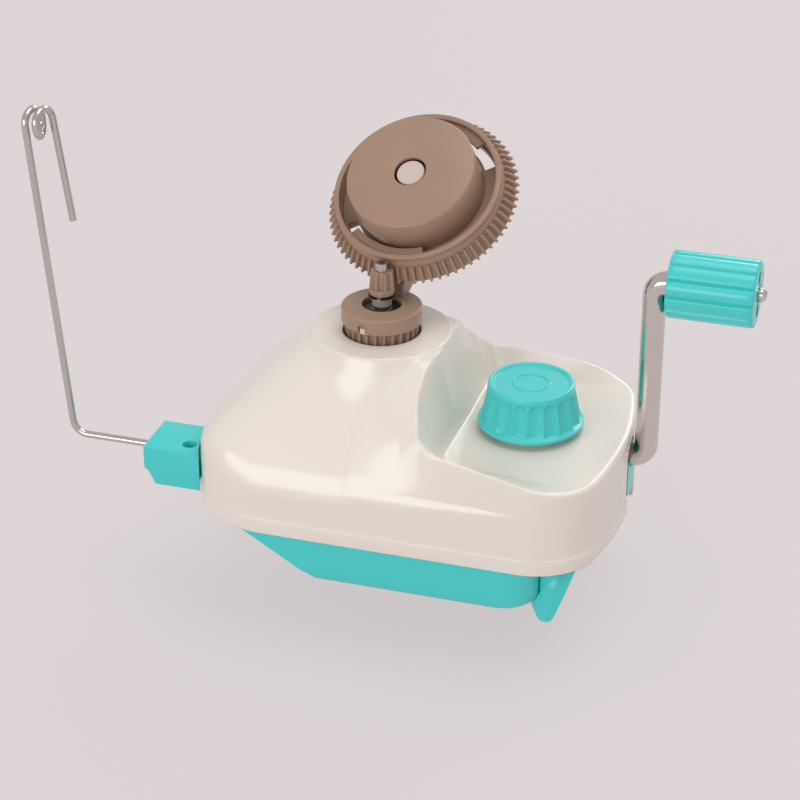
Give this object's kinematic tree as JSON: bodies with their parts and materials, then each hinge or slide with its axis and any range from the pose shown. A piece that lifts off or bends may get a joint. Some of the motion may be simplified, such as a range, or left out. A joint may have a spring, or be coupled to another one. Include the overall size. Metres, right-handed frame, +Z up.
{
  "type": "yarn ball winder",
  "caption": "Hand cranked yarn ball winder with a tilted geared spool, table clamp, clamp knob and wire yarn guide.",
  "frame": {"origin": "on the base plate's flat underside, on the hub's upright axis", "axes": "+X toward the crank, +Y toward the back, away from the jaw's open end view, +Z up along the hub's axis"},
  "size_m": [0.2711, 0.116, 0.1856],
  "materials": {
    "white_shell": "gloss",
    "teal_plastic": "satin gloss",
    "tan_plastic": "satin",
    "brown_plastic": "satin",
    "pale_plastic": "satin",
    "grey_sleeve": "dull",
    "steel": "plain",
    "plated_rod": "polished",
    "plated_wire": "polished",
    "nut_metal": "plain"
  },
  "bodies": {
    "base": {"top_housing": "white_shell", "base_plate": "teal_plastic", "base_screws": "steel", "bearing_caps": "teal_plastic", "cap_screws": "steel", "spindle": "steel", "spacer": "grey_sleeve", "spindle_clip": "steel", "centre_pinion": "brown_plastic", "spindle_screw": "steel"},
    "hub": {"hub_gear": "brown_plastic", "hub_cap": "tan_plastic", "hub_arm": "brown_plastic", "spool_axle": "steel", "axle_cap": "pale_plastic"},
    "spool": {"spool_gear": "tan_plastic", "spool_drum": "tan_plastic"},
    "crank": {"crank_rod": "plated_rod", "crown_gear": "brown_plastic", "crank_collar": "steel"},
    "grip": {"crank_grip": "teal_plastic"},
    "knob": {"clamp_knob": "teal_plastic", "clamp_screw": "steel", "screw_clip": "steel"},
    "jaw": {"clamp_jaw": "teal_plastic", "clamp_nut": "nut_metal"},
    "arm": {"guide_arm": "teal_plastic"},
    "wire": {"guide_wire": "plated_wire"}
  },
  "joints": [
    {"name": "crank_turn", "type": "hinge", "parent": "base", "child": "crank", "pos_m": [0.09, 0.0085, 0.02177], "axis": [1, 0, 0], "continuous": true},
    {"name": "grip_spin", "type": "hinge", "parent": "crank", "child": "grip", "pos_m": [0.12, 0.0085, 0.09317], "axis": [1, 0, 0], "continuous": true},
    {"name": "hub_spin", "type": "hinge", "parent": "base", "child": "hub", "pos_m": [0, 0, 0.06], "axis": [0, 0, 1], "continuous": true},
    {"name": "spool_spin", "type": "hinge", "parent": "hub", "child": "spool", "pos_m": [0.0058, 0.03272, 0.10342], "axis": [-0.1018, -0.5743, 0.8123], "continuous": true},
    {"name": "clamp_knob_turn", "type": "hinge", "parent": "base", "child": "knob", "pos_m": [0.05755, 0, 0.04], "axis": [0, 0, 1], "range_deg": [0, 2880]},
    {"name": "jaw_slide", "type": "slide", "parent": "base", "child": "jaw", "axis": [0, 0, -1], "range_m": [0, 0.024]},
    {"name": "guide_arm_slide", "type": "slide", "parent": "base", "child": "arm", "axis": [-1, 0, 0], "range_m": [0, 0.02]},
    {"name": "guide_wire_turn", "type": "hinge", "parent": "arm", "child": "wire", "pos_m": [-0.09, -0.0195, 0.0109], "axis": [1, 0, 0], "range_deg": [-90, 90]}
  ],
  "couplings": [
    {"joint": "hub_spin", "follows": "crank_turn", "ratio": -1.875},
    {"joint": "spool_spin", "follows": "crank_turn", "ratio": -0.20833},
    {"joint": "clamp_knob_turn", "follows": "jaw_slide", "rad_per_m": 2094.4}
  ]
}
